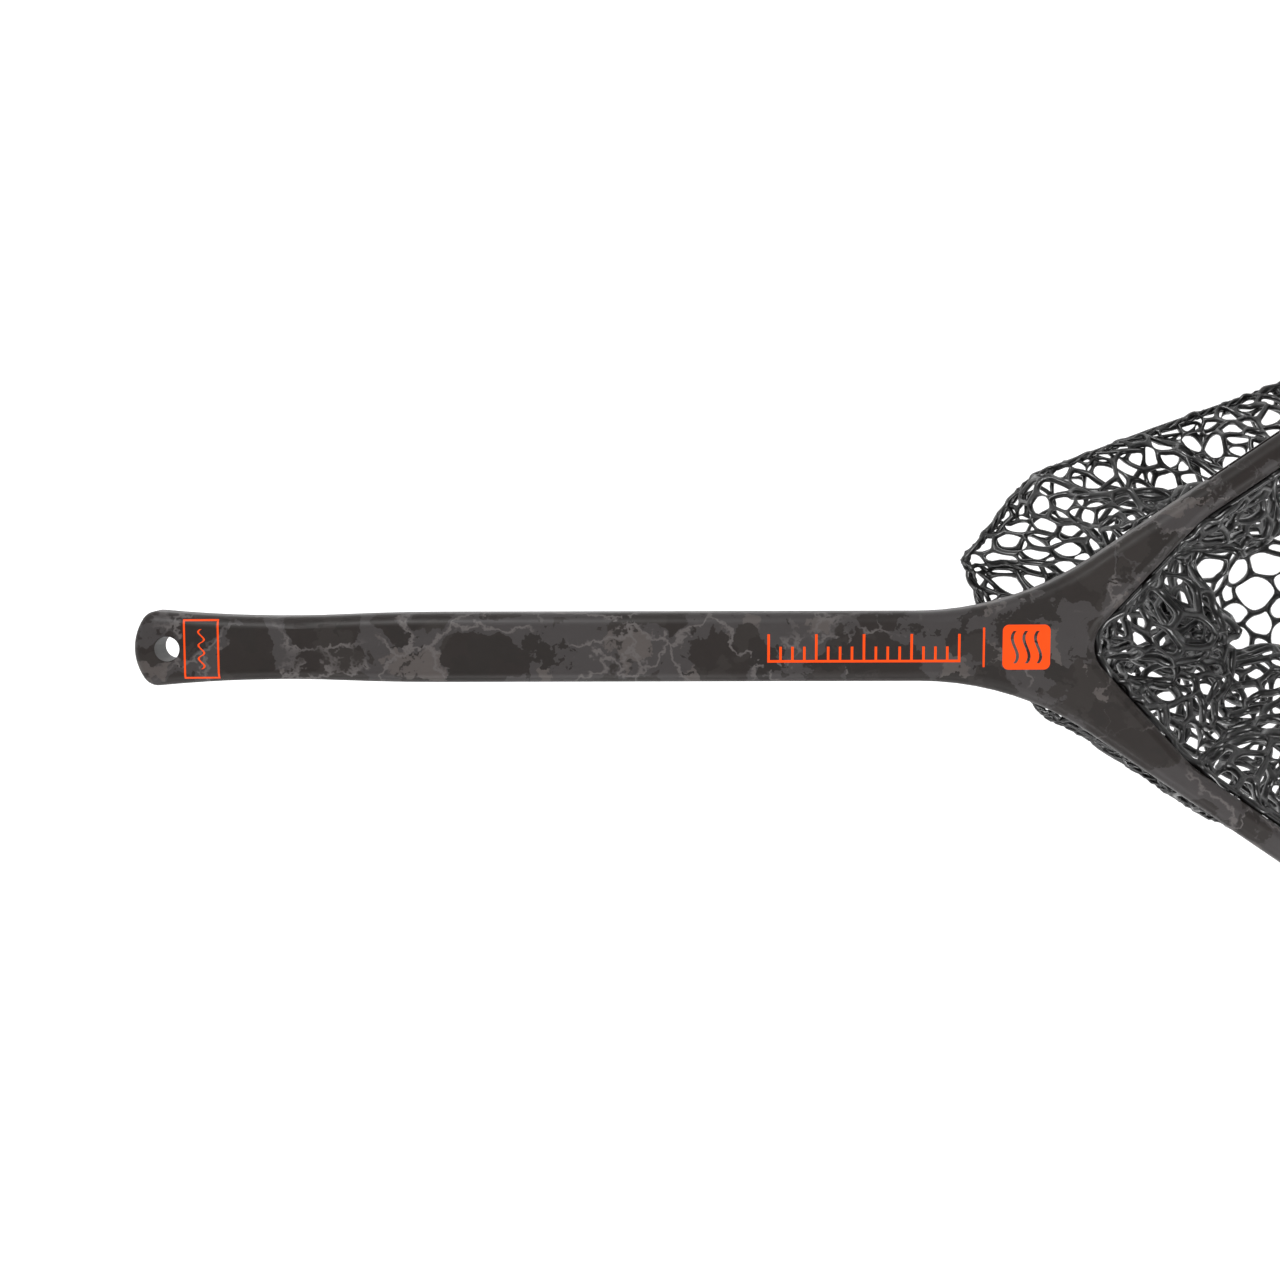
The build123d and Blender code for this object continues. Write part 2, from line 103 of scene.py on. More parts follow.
# shift of the bag, so that its -Y side lies closer in by the handle
SLUMP_DEPTH = 0.2  # below this the shift is whole
SLUMP_ALONG = 0.024  # how far the end by the handle is drawn back
SLUMP_BAND = 0.132  # width in Y over which it is drawn back
SLUMP_END, SLUMP_FADE = 0.58, 0.08  # X where drawing back ends, and the length over which it fades
CORNER = (0.4425, 0.031)  # corner of the bag that stays out towards the handle
CORNER_REACH, CORNER_SIZE = 0.005, 0.009
SLUMP_STATIONS = (0.46, 0.50, 0.53, 0.563, 0.60, 0.65, 0.72)  # places along the bag
SLUMP_ASIDE = (0.010, 0.014, 0.012, 0.0, -0.011, -0.008, 0.0)  # what its -Y side moves there
SLUMP_SIDE = 0.06  # distance from the middle at which that move is whole

# seam lashing
LASHING_POINTS = 240
LASHING_WAVER = 0.0006

seam_low, seam_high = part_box("bag_seam")
SEAM_BEAD = (seam_high.z - seam_low.z) / 2
SEAM_Z = (seam_high.z + seam_low.z) / 2

random = np.random.default_rng(7)


# ---------------------------------------------------------------- shader maths
class Value:
    """A socket of a material's tree, so that shader maths reads as plain expressions."""

    def __init__(self, shade, socket):
        self.shade = shade
        self.socket = socket

    def math(self, operation, *others):
        return self.shade.node("ShaderNodeMath", {"operation": operation}, dict(enumerate((self, *others))))

    def __add__(self, other):
        return self.math("ADD", other)

    def __sub__(self, other):
        return self.math("SUBTRACT", other)

    def __rsub__(self, other):
        return self.shade.node("ShaderNodeMath", {"operation": "SUBTRACT"}, {0: other, 1: self})

    def __mul__(self, other):
        return self.math("MULTIPLY", other)

    __radd__ = __add__
    __rmul__ = __mul__

    def step(self, low, high):
        """0 below low, 1 above high, and smooth between them."""
        return self.shade.node(
            "ShaderNodeMapRange",
            {"interpolation_type": "SMOOTHSTEP"},
            {"Value": self, "From Min": low, "From Max": high},
        )


class Shade:
    """One material: its tree, its Principled surface, and one method that makes any node."""

    def __init__(self, name, **surface):
        self.material = bpy.data.materials.new(name)
        self.material.use_nodes = True
        self.tree = self.material.node_tree
        self.surface = self.tree.nodes["Principled BSDF"]
        self.place = self.node("ShaderNodeTexCoord", output="Object")
        for socket, value in surface.items():
            self.put(self.surface.inputs[socket.replace("_", " ")], value)

    def put(self, socket, value):
        if isinstance(value, Value):
            self.tree.links.new(value.socket, socket)
        else:
            socket.default_value = value

    def node(self, kind, settings=None, sockets=None, output=0):
        made = self.tree.nodes.new(kind)
        for name, value in (settings or {}).items():
            setattr(made, name, value)
        for name, value in (sockets or {}).items():
            self.put(made.inputs[name], value)
        return Value(self, made.outputs[output])

    def noise(self, place, scale, detail=3.0, roughness=0.5, output="Fac"):
        return self.node(
            "ShaderNodeTexNoise",
            sockets={
                "Vector": place,
                "Scale": scale,
                "Detail": detail,
                "Roughness": roughness,
            },
            output=output,
        )

    def vector(self, operation, first, second):
        return self.node("ShaderNodeVectorMath", {"operation": operation}, {0: first, 1: second})

    def moved(self, place, amount):
        return self.vector("ADD", place, amount)

    def mix(self, factor, first, second):
        """Colour mix: first where the factor is 0, second where it is 1."""
        made = self.tree.nodes.new("ShaderNodeMix")
        made.data_type = "RGBA"
        self.put(made.inputs["Factor"], factor)
        self.put(made.inputs[6], first)
        self.put(made.inputs[7], second)
        return Value(self, made.outputs[2])

    def finish(self, **surface):
        for socket, value in surface.items():
            self.put(self.surface.inputs[socket.replace("_", " ")], value)
        return self.material

    def bump(self, height, strength, distance):
        return self.node(
            "ShaderNodeBump",
            sockets={"Height": height, "Strength": strength, "Distance": distance},
            output="Normal",
        )


def rgb(red, green, blue):
    """Linear colour from display values of 0 to 255."""
    return (*((value / 255) ** 2.2 for value in (red, green, blue)), 1.0)


# ---------------------------------------------------------------- materials
def camouflage():
    """Satin clear coat over dark blots with ragged edges, and grey washes and veins between them."""
    shade = Shade("camo_composite", Coat_Weight=0.06, Coat_Roughness=0.3, Specular_IOR_Level=0.26)
    drift = shade.noise(shade.place, 30, 5, 0.62, output="Color")
    ragged = shade.moved(
        shade.place,
        shade.vector("MULTIPLY", shade.vector("SUBTRACT", drift, (0.5, 0.5, 0.5)), (0.045, 0.045, 0.045)),
    )
    blots = shade.node(
        "ShaderNodeTexVoronoi",
        {"feature": "DISTANCE_TO_EDGE"},
        {"Vector": ragged, "Scale": 27.0},
        output="Distance",
    )
    spread = shade.noise(shade.moved(shade.place, (3.1, 1.7, 0.4)), 24, 2, 0.5).step(0.38, 0.68)
    along = shade.node("ShaderNodeSeparateXYZ", sockets={"Vector": shade.place}, output="X")
    fork = along.step(0.36, 0.46)
    grey = 1 - (blots - spread * (fork * 0.13 + 0.25)).step(-0.012, 0.012)
    charcoal = shade.noise(shade.moved(ragged, (7.3, 4.1, 2.2)), 30, 2, 0.5).step(0.52, 0.545)
    taupe = shade.noise(shade.moved(ragged, (1.4, 6.7, 3.3)), 46, 2.5, 0.5).step(0.575, 0.60)
    soot = shade.noise(shade.moved(ragged, (4.6, 2.9, 8.1)), 52, 3, 0.6).step(0.57, 0.59)
    veins = 1 - blots.step(0.004, 0.035)
    vein_gaps = shade.noise(shade.moved(shade.place, (5.0, 0.0, 0.0)), 30, 2, 0.5).step(0.44, 0.54)
    wash = shade.noise(ragged, 150, 4, 0.6)
    colour = shade.mix(charcoal, rgb(33, 28, 26), rgb(40, 36, 34))
    colour = shade.mix(grey, colour, rgb(56, 53, 53))
    colour = shade.mix(taupe * grey, colour, rgb(74, 69, 67))
    colour = shade.mix(veins * vein_gaps, colour, rgb(84, 80, 79))
    colour = shade.mix(soot, colour, rgb(31, 27, 25))
    colour = shade.mix(wash * 0.25, colour, rgb(46, 42, 41))
    grain = shade.noise(shade.place, 1400, 2, 0.5)
    waviness = shade.noise(shade.place, 60, 2, 0.5)
    return shade.finish(
        Base_Color=colour,
        Roughness=shade.noise(shade.place, 90, 3) * 0.14 + 0.44,
        Normal=shade.bump(grain * 0.25 + waviness, 0.12, 0.0006),
    )


def orange_print():
    """Orange ink under the clear coat, slightly uneven, with the pores of the surface below."""
    shade = Shade("orange_print", Coat_Weight=0.05, Coat_Roughness=0.3, Specular_IOR_Level=0.2)
    speckle = shade.noise(shade.place, 900, 3, 0.6)
    cloud = shade.noise(shade.place, 120, 3, 0.5)
    colour = shade.mix(cloud, rgb(228, 66, 0), rgb(231, 74, 4))
    return shade.finish(
        Base_Color=shade.mix(speckle.step(0.66, 0.72) * 0.5, colour, rgb(170, 60, 20)),
        Roughness=cloud * 0.15 + 0.38,
        Normal=shade.bump(speckle, 0.1, 0.0003),
    )


def moulded_rubber():
    """Black rubber with a moulded sheen, faint flow marks and a dry bloom in places."""
    shade = Shade("rubber_mesh", Specular_IOR_Level=0.6, Coat_Weight=0.35, Coat_Roughness=0.16)
    bloom = shade.noise(shade.place, 70, 4, 0.6)
    flow = shade.noise(shade.place, 420, 3, 0.55)
    colour = shade.mix(bloom.step(0.42, 0.75), rgb(11, 10, 10), rgb(26, 25, 25))
    return shade.finish(
        Base_Color=colour,
        Roughness=flow * 0.2 + 0.22,
        Normal=shade.bump(flow, 0.25, 0.0004),
    )


def braided_cord():
    """Black polyester braid: fine diagonal picks, slightly wavy."""
    shade = Shade("lacing", Specular_IOR_Level=0.3)
    picks = shade.node(
        "ShaderNodeTexWave",
        {"wave_type": "BANDS", "bands_direction": "DIAGONAL"},
        {"Vector": shade.place, "Scale": 900.0, "Distortion": 1.5, "Detail": 1.0},
    )
    return shade.finish(
        Base_Color=shade.mix(picks, rgb(18, 18, 20), rgb(52, 52, 56)),
        Roughness=picks * 0.1 + 0.62,
        Normal=shade.bump(picks, 0.6, 0.0005),
    )


def closed_cell_foam():
    """Pale structural foam: fine pores and a gently varying tint."""
    shade = Shade("foam")
    pores = shade.node(
        "ShaderNodeTexVoronoi", sockets={"Vector": shade.place, "Scale": 900.0}, output="Distance"
    )
    tint = shade.noise(shade.place, 60, 3)
    return shade.finish(
        Base_Color=shade.mix(tint, rgb(205, 198, 180), rgb(226, 221, 206)),
        Roughness=pores * 0.2 + 0.7,
        Normal=shade.bump(pores, 0.5, 0.0006),
    )


# ---------------------------------------------------------------- outlines read from the frame
def plan_outline(node, top, inset, count, gather=0.0):
    """Points round a node's plan at its top or bottom, moved inwards by inset.

    They start at the end next to the handle and run round towards +Y. With gather, they stand
    closer together near the fork.
    """
    places = np.array([vertex.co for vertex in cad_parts[node].data.vertices])
    level = places[:, 2].max() if top else places[:, 2].min()
    ring = places[abs(places[:, 2] - level) < LEVEL_SLACK, :2]
    hull = ring[convex_hull_2d([Vector(place) for place in ring])]
    ahead = np.roll(hull, -1, axis=0)
    if (hull[:, 0] * ahead[:, 1] - hull[:, 1] * ahead[:, 0]).sum() > 0:
        hull = hull[::-1]
    first = hull[:, 0].argmin()
    hull = np.roll(hull, -first, axis=0)
    closed = np.vstack([hull, hull[:1]])
    lengths = np.concatenate([[0], np.cumsum(np.linalg.norm(np.diff(closed, axis=0), axis=1))])
    total = lengths[-1]
    fine = np.linspace(0, total, 4000)
    away = np.minimum(fine, total - fine)
    crowd = np.cumsum(1 + gather * np.exp(-((away / FORK_SPREAD) ** 2)))
    stations = np.interp(np.arange(count) / count * crowd[-1], crowd, fine)
    line = np.stack([np.interp(stations, lengths, closed[:, axis]) for axis in (0, 1)], axis=1)
    along = np.roll(line, -1, axis=0) - np.roll(line, 1, axis=0)
    inward = np.stack([along[:, 1], -along[:, 0]], axis=1)
    return line + inset * inward / np.linalg.norm(inward, axis=1, keepdims=True)


def between(line, station):
    """Points of a closed line at fractional places counted in its own points."""
    count = len(line)
    low = np.floor(station).astype(int)
    share = (station - low)[:, None]
    return line[low % count] * (1 - share) + line[(low + 1) % count] * share


# ---------------------------------------------------------------- relaxing the mesh
class Sheet:
    """Lattice points of the mesh, the pairs that the rubber ties together, and their triangles."""

    def __init__(self, points, fixed, triangles):
        self.points = points
        self.fixed = fixed
        self.triangles = triangles
        sides = np.vstack([triangles[:, [0, 1]], triangles[:, [1, 2]], triangles[:, [2, 0]]])
        self.ties = np.unique(np.sort(sides, axis=1), axis=0)
        self.bends = self.across()
        self.settle_lengths()
        self.home = points.copy()
        self.outward = np.zeros_like(points)
        self.give = np.zeros(len(points))

    def settle_lengths(self, fullness=1.0):
        """A tie is at rest at the cells' pitch, or longer where the mesh was laid out stretched."""
        first, second = self.ties.T
        laid = np.linalg.norm(self.points[first] - self.points[second], axis=1)
        self.rest = np.clip(laid, CELL * fullness, CELL * LONGEST_TIE)

    def across(self):
        """Pairs of points that face each other over a shared side of two triangles."""
        owners = {}
        for a, b, c in self.triangles:
            for side, far in (((a, b), c), ((b, c), a), ((c, a), b)):
                owners.setdefault(tuple(sorted(side)), []).append(far)
        return np.array([pair for pair in owners.values() if len(pair) == 2])

    def pull(self, pairs, rest, stiffness, push_only):
        """Moves both ends of each pair towards their rest distance, averaged over a point's pairs."""
        first, second = pairs.T
        gap = self.points[second] - self.points[first]
        length = np.linalg.norm(gap, axis=1)
        stretch = length - rest
        if push_only:
            stretch = np.minimum(stretch, 0)
        shift = (stiffness * 0.5 * stretch / np.maximum(length, 1e-9))[:, None] * gap
        total = np.zeros_like(self.points)
        np.add.at(total, first, shift)
        np.add.at(total, second, -shift)
        shares = np.bincount(pairs.ravel(), minlength=len(self.points))[:, None]
        self.points += np.where(self.fixed[:, None], 0, total / np.maximum(shares, 1) * TIE_PUSH)

    def hold_in(self):
        """Keeps the sheet from bulging further out of its plan than it may."""
        over = ((self.points - self.home) * self.outward).sum(axis=1) - self.give
        self.points -= np.where(self.fixed, 0, np.maximum(over, 0))[:, None] * self.outward

    def hang(self, steps, weight, firmness):
        """Lets the sheet settle under its weight, with its fixed points held."""
        before = self.points.copy()
        fold = CELL * FOLD_LIMIT
        for _ in range(steps):
            drift = (self.points - before) * DRIFT_KEPT
            before = self.points.copy()
            drift[:, 2] -= weight
            self.points = self.points + np.where(self.fixed[:, None], 0, drift)
            for _ in range(TIE_PASSES):
                self.pull(self.ties, self.rest, 1.0, False)
                self.pull(self.bends, fold, firmness, True)
            self.hold_in()

    def ruffle(self, way, drop):
        """Starts the folds: the deep one under the fork, and uneven pleats that mostly go inwards.

        way is each point's distance along the rim from the fork, and drop its share of the depth.
        """
        hump = np.sin(np.pi * drop) ** 1.3
        reach = np.where(way > 0, *FORK_REACH)
        near = np.exp(-(abs(way / reach) ** 3))
        pleats = np.zeros(len(way))
        for wave, size in PLEATS:
            lean, phase = random.uniform(-PLEAT_LEAN, PLEAT_LEAN), random.uniform(0, 2 * np.pi)
            pleats += size * np.sin(2 * np.pi * way / wave + lean * drop * 3 + phase)
        creases = np.sin(drop * 19 + 2.0 * np.sin(way * 31))
        creases = creases + np.sin(drop * 31 + 1.3 * np.sin(way * 53 + 2))
        depth = hump * (PLEAT_DEPTH + FORK_PLEAT_DEPTH * near) * (pleats - PLEAT_OFFSET)
        depth = depth + CREASE_DEPTH * near * hump * creases
        foot = np.clip((drop - 0.8) / 0.1, 0, 1) * np.clip((1 - drop) / 0.05, 0, 1)
        depth += FOOT_BULGE * foot * (1 + 0.4 * np.sin(way * 61) + 0.3 * np.sin(way * 149 + 1))
        crest = np.minimum(drop / FORK_CREST, (1 - drop) / (1 - FORK_CREST)) ** 0.9
        fold = FORK_FOLD * near * crest * (1 + 0.2 * np.sin(way * 44 + 1.0) + 0.12 * np.sin(way * 97))
        shift = self.outward * depth[:, None]
        shift[:, 0] += fold * np.cos(np.clip(way / reach, -1.5, 1.5)) ** 0.5
        self.points += np.where(self.fixed[:, None], 0, shift)


def wall_sheet():
    """Side of the bag as a triangular lattice, gathered near the fork, from rim to bottom seam."""
    rim = plan_outline("bag_wall", True, WALL_SKIN / 2, WALL_COLUMNS, FORK_GATHER)
    foot = plan_outline("bag_seam", True, SEAM_BEAD, WALL_COLUMNS, FORK_GATHER)
    rows = []
    for row in range(WALL_ROWS + 1):
        station = np.arange(WALL_COLUMNS) + 0.5 * (row % 2)
        depth = SEAM_Z * row / WALL_ROWS
        flare = min(depth / -FLARE_DEPTH, 1.0)
        flare = flare * flare * (3 - 2 * flare)
        plan = between(rim, station) * (1 - flare) + between(foot, station) * flare
        rows.append(np.column_stack([plan, np.full(WALL_COLUMNS, depth)]))
    points = np.vstack(rows)
    triangles = []
    for row in range(WALL_ROWS):
        for column in range(WALL_COLUMNS):
            after = (column + 1) % WALL_COLUMNS
            here, beside = row * WALL_COLUMNS + column, row * WALL_COLUMNS + after
            below, below_after = here + WALL_COLUMNS, beside + WALL_COLUMNS
            if row % 2:
                triangles += [(here, below_after, beside), (here, below, below_after)]
            else:
                triangles += [(here, below, beside), (beside, below, below_after)]
    fixed = np.zeros(len(points), bool)
    fixed[:WALL_COLUMNS] = True
    fixed[-WALL_COLUMNS:] = True
    sheet = Sheet(points, fixed, np.array(triangles))
    along = np.roll(rim, -1, axis=0) - np.roll(rim, 1, axis=0)
    out = np.stack([-along[:, 1], along[:, 0]], axis=1) / np.linalg.norm(along, axis=1, keepdims=True)
    sheet.outward[:, :2] = np.tile(out, (WALL_ROWS + 1, 1))
    drop = np.repeat(np.arange(WALL_ROWS + 1) / WALL_ROWS, WALL_COLUMNS)
    sheet.give[:] = BULGE + (FOOT_BULGE - BULGE) * (drop > FOOT_FROM)
    step = np.linalg.norm(np.roll(rim, -1, axis=0) - rim, axis=1)
    way = np.cumsum(step) - step
    way = np.where(way > step.sum() / 2, way - step.sum(), way)
    sheet.ruffle(np.tile(way, WALL_ROWS + 1), drop)
    sheet.settle_lengths()
    return sheet


def floor_sheet():
    """Bottom of the bag: a lattice inside the seam that sags between its edges."""
    foot = plan_outline("bag_seam", True, SEAM_BEAD, WALL_COLUMNS, FORK_GATHER)
    low, high = foot.min(axis=0), foot.max(axis=0)
    lattice = []
    for row in range(math.ceil((high[1] - low[1]) / (CELL * ROW_PITCH))):
        for column in range(math.ceil((high[0] - low[0]) / CELL) + 1):
            lattice.append(low + (CELL * (column + 0.5 * (row % 2)), CELL * ROW_PITCH * (row + 0.5)))
    lattice = np.array(lattice) + random.normal(0, CELL * FLOOR_LATTICE_JITTER, (len(lattice), 2))
    lattice += 0.006 * np.sin(lattice[:, ::-1] * (83, 97) + (1, 4)) + 0.004 * np.sin(lattice * (151, 139))
    side = np.roll(foot, -1, axis=0) - foot
    inward = np.stack([side[:, 1], -side[:, 0]], axis=1)
    inward /= np.linalg.norm(inward, axis=1, keepdims=True)
    depth = ((lattice[:, None] - foot[None]) * inward[None]).sum(axis=2).min(axis=1)
    inside = lattice[depth > CELL * FLOOR_INSET]
    flat = np.vstack([foot, inside])
    faces = delaunay_2d_cdt([Vector(place) for place in flat], [], [], 0, 1e-6)[2]
    depth = np.concatenate([np.zeros(len(foot)), depth[depth > CELL * FLOOR_INSET]])
    sag = FLOOR_SAG * (1 - np.exp(-((depth / FLOOR_SAG_WIDTH) ** 2)))
    points = np.column_stack([flat, SEAM_Z - sag])
    for turn, size in FLOOR_WAVES:
        lean, phase = random.uniform(-1, 1), random.uniform(0, 6)
        points[:, 2] += size * np.sin(turn * (flat[:, 0] + lean * flat[:, 1]) + phase) * (depth > 0)
    sheet = Sheet(points, depth == 0, np.array(faces))
    sheet.outward[:] = (0, 0, -1)
    sheet.home[:, 2] = SEAM_Z - sag
    sheet.give[:] = FLOOR_CRUMPLE
    sheet.settle_lengths(FLOOR_SPARE)
    return sheet


def slumped(points):
    """The bag's points, shifted to lie lopsidedly; the shift grows with depth."""
    deep = np.clip(points[:, 2] / -SLUMP_DEPTH, 0, 1)
    along, aside = points[:, 0], points[:, 1]
    band = np.clip((CORNER[1] - aside) / SLUMP_BAND, 0, 1)
    corner = (along - CORNER[0]) ** 2 + (aside - CORNER[1]) ** 2
    shift = np.zeros_like(points)
    shift[:, 0] = SLUMP_ALONG * np.sin(np.pi * band) * np.clip((SLUMP_END - along) / SLUMP_FADE, 0, 1)
    shift[:, 0] -= CORNER_REACH * np.exp(-corner / CORNER_SIZE**2)
    shift[:, 1] = np.interp(along, SLUMP_STATIONS, SLUMP_ASIDE) * np.clip(-aside / SLUMP_SIDE, 0, 1)
    return points + (deep * deep * (3 - 2 * deep))[:, None] * shift


# ---------------------------------------------------------------- geometry nodes
class Rule:
    """A Geometry Nodes tree with named inputs, run once on a piece's guide."""

    def __init__(self, name, **inputs):
        self.tree = bpy.data.node_groups.new(name, "GeometryNodeTree")
        self.tree.interface.new_socket("Guide", in_out="INPUT", socket_type="NodeSocketGeometry")
        for label, kind in inputs.items():
            self.tree.interface.new_socket(label, in_out="INPUT", socket_type=f"NodeSocket{kind}")
        self.tree.interface.new_socket("Piece", in_out="OUTPUT", socket_type="NodeSocketGeometry")
        self.given = self.tree.nodes.new("NodeGroupInput").outputs

    def node(self, kind, settings=None, sockets=None):
        made = self.tree.nodes.new(kind)
        for name, value in (settings or {}).items():
            setattr(made, name, value)
        for name, value in (sockets or {}).items():
            if isinstance(value, bpy.types.NodeSocket):
                self.tree.links.new(value, made.inputs[name])
            else:
                made.inputs[name].default_value = value
        return made.outputs

    def maths(self, operation, first, second=0.0):
        return self.node("ShaderNodeMath", {"operation": operation}, {0: first, 1: second})[0]

    def close(self, piece):
        real = self.node("GeometryNodeRealizeInstances", sockets={"Geometry": piece})[0]
        coat = self.node(
            "GeometryNodeSetMaterial", sockets={"Geometry": real, "Material": self.given["Finish"]}
        )
        end = self.tree.nodes.new("NodeGroupOutput")
        self.tree.links.new(coat[0], end.inputs[0])
        return self.tree

    def add_to(self, guide, **values):
        modifier = guide.modifiers.new(self.tree.name, "NODES")
        modifier.node_group = self.tree
        for item in self.tree.interface.items_tree:
            if item.in_out == "INPUT" and item.name in values:
                modifier[item.identifier] = values[item.name]


def cells_rule():
    """Turns a triangle lattice into its six-sided cells, with their corners a little uneven."""
    rule = Rule("mesh_cells", Unevenness="Float", Seed="Int", Finish="Material")
    dual = rule.node(
        "GeometryNodeDualMesh", sockets={"Mesh": rule.given["Guide"], "Keep Boundaries": True}
    )[0]
    most = rule.node("ShaderNodeCombineXYZ", sockets=dict.fromkeys("XYZ", rule.given["Unevenness"]))[0]
    least = rule.node("ShaderNodeVectorMath", {"operation": "SCALE"}, {0: most, "Scale": -1.0})[0]
    nudge = rule.node(
        "FunctionNodeRandomValue",
        {"data_type": "FLOAT_VECTOR"},
        {0: least, 1: most, "Seed": rule.given["Seed"]},
    )[0]
    uneven = rule.node("GeometryNodeSetPosition", sockets={"Geometry": dual, "Offset": nudge})[0]
    rule.close(uneven)
    return rule


def twist_rule():
    """Lays several strands round a closed line, twisted about each other."""
    rule = Rule(
        "twisted_strands",
        Strands="Int",
        Turns="Float",
        Spread="Float",
        Thickness="Float",
        Finish="Material",
    )
    copies = rule.node(
        "GeometryNodeDuplicateElements",
        {"domain": "SPLINE"},
        {"Geometry": rule.given["Guide"], "Amount": rule.given["Strands"]},
    )
    way = rule.node("GeometryNodeSplineParameter")["Factor"]
    share = rule.maths("DIVIDE", copies["Duplicate Index"], rule.given["Strands"])
    turn = rule.maths("ADD", rule.maths("MULTIPLY", way, rule.given["Turns"]), share)
    angle = rule.maths("MULTIPLY", turn, 2 * math.pi)
    normal = rule.node("GeometryNodeInputNormal")[0]
    tangent = rule.node("GeometryNodeInputTangent")[0]
    across = rule.node("ShaderNodeVectorMath", {"operation": "CROSS_PRODUCT"}, {0: normal, 1: tangent})[0]
    sides = []
    for direction, wave in ((normal, "COSINE"), (across, "SINE")):
        reach = rule.maths("MULTIPLY", rule.maths(wave, angle), rule.given["Spread"])
        sides.append(
            rule.node("ShaderNodeVectorMath", {"operation": "SCALE"}, {0: direction, "Scale": reach})[0]
        )
    offset = rule.node("ShaderNodeVectorMath", {"operation": "ADD"}, {0: sides[0], 1: sides[1]})[0]
    laid = rule.node(
        "GeometryNodeSetPosition", sockets={"Geometry": copies["Geometry"], "Offset": offset}
    )[0]
    section = rule.node(
        "GeometryNodeCurvePrimitiveCircle", sockets={"Resolution": 8, "Radius": rule.given["Thickness"]}
    )[0]
    tubes = rule.node("GeometryNodeCurveToMesh", sockets={"Curve": laid, "Profile Curve": section})[0]
    rule.close(tubes)
    return rule


# ---------------------------------------------------------------- pieces
def link(name, data):
    piece = bpy.data.objects.new(name, data)
    bpy.context.scene.collection.objects.link(piece)
    return piece


def baked(name, guide):
    """The guide with its modifiers applied, as a new plain piece; the guide is removed."""
    bpy.context.view_layer.update()
    shape = guide.evaluated_get(bpy.context.evaluated_depsgraph_get())
    mesh = bpy.data.meshes.new_from_object(shape)
    mesh.name = name
    bpy.data.objects.remove(guide)
    mesh.shade_smooth()
    return link(name, mesh)


def bowed(cells):
    """Adds a point in the middle of every strand, a little off its line."""
    form = bmesh.new()
    form.from_mesh(cells.data)
    for edge in list(form.edges):
        middle = bmesh.utils.edge_split(edge, edge.verts[0], 0.5)[1]
        middle.co += Vector(random.normal(0, STRAND_BOW, 3))
    form.to_mesh(cells.data)
    form.free()


def strands(name, sheet, finish):
    """Round strands along the sides of a sheet's cells, filleted where they meet."""
    mesh = bpy.data.meshes.new(name)
    mesh.from_pydata(slumped(sheet.points).tolist(), [], sheet.triangles.tolist())
    lattice = link(name + "_lattice", mesh)
    cells_rule().add_to(lattice, Unevenness=CELL * CELL_JITTER, Seed=3, Finish=finish)
    cells = baked(name + "_cells", lattice)
    bowed(cells)
    wire = cells.modifiers.new("strands", "WIREFRAME")
    wire.thickness = STRAND
    wire.use_boundary = True
    wire.use_even_offset = False
    smooth = cells.modifiers.new("round", "SUBSURF")
    smooth.levels = smooth.render_levels = 1
    return baked(name, cells)


def halved(piece, names):
    """Divides a piece into two closed ones at the upright plane along the handle's line."""
    halves = []
    for name, keep_left in zip(names, (False, True)):
        form = bmesh.new()
        form.from_mesh(piece.data)
        cut = bmesh.ops.bisect_plane(
            form,
            geom=[*form.verts, *form.edges, *form.faces],
            plane_co=(0, 0, 0),
            plane_no=(0, 1, 0),
            clear_inner=keep_left,
            clear_outer=not keep_left,
        )["geom_cut"]
        rings = [item for item in cut if isinstance(item, bmesh.types.BMEdge)]
        for edge in rings:
            edge.smooth = False
        caps = bmesh.ops.holes_fill(form, edges=rings, sides=0)["faces"]
        bmesh.ops.triangulate(form, faces=caps)
        mesh = bpy.data.meshes.new(name)
        form.to_mesh(mesh)
        form.free()
        mesh.materials.append(piece.data.materials[0])
        halves.append(link(name, mesh))
    bpy.data.objects.remove(piece)
    return halves


def seam_lashing(finish):
    """Strands that bind the side to the bottom, following the seam with a slight waver."""
    line = plan_outline("bag_seam", True, SEAM_BEAD, LASHING_POINTS, 0)
    way = np.linspace(0, 2 * np.pi, len(line), endpoint=False)
    height = SEAM_Z + LASHING_WAVER * np.sin(way * 37 + np.sin(way * 5))
    curve = bpy.data.curves.new("seam_guide", "CURVE")
    curve.dimensions = "3D"
    spline = curve.splines.new("POLY")
    spline.points.add(len(line) - 1)
    places = slumped(np.column_stack([line, height]))
    spline.points.foreach_set("co", np.column_stack([places, np.ones(len(line))]).ravel())
    spline.use_cyclic_u = True
    guide = link("seam_guide", curve)
    twist_rule().add_to(guide, Strands=3, Turns=54.0, Spread=0.0016, Thickness=0.0011, Finish=finish)
    return baked("seam_lashing", guide)


# ---------------------------------------------------------------- the net
rubber = moulded_rubber()
side = wall_sheet()
bottom = floor_sheet()
side.hang(HANG_STEPS, SIDE_WEIGHT, FIRMNESS)
bottom.hang(HANG_STEPS, FLOOR_WEIGHT, FIRMNESS)
for piece in halved(strands("bag_side", side, rubber), ("bag_side_right", "bag_side_left")):
    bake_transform(piece)
    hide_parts("bag_wall")
bottom_mesh = strands("bag_bottom_mesh", bottom, rubber)
lashing = seam_lashing(rubber)
for piece, node in ((bottom_mesh, "bag_floor"), (lashing, "bag_seam")):
    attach(piece, "bag_bottom")
    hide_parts(node)

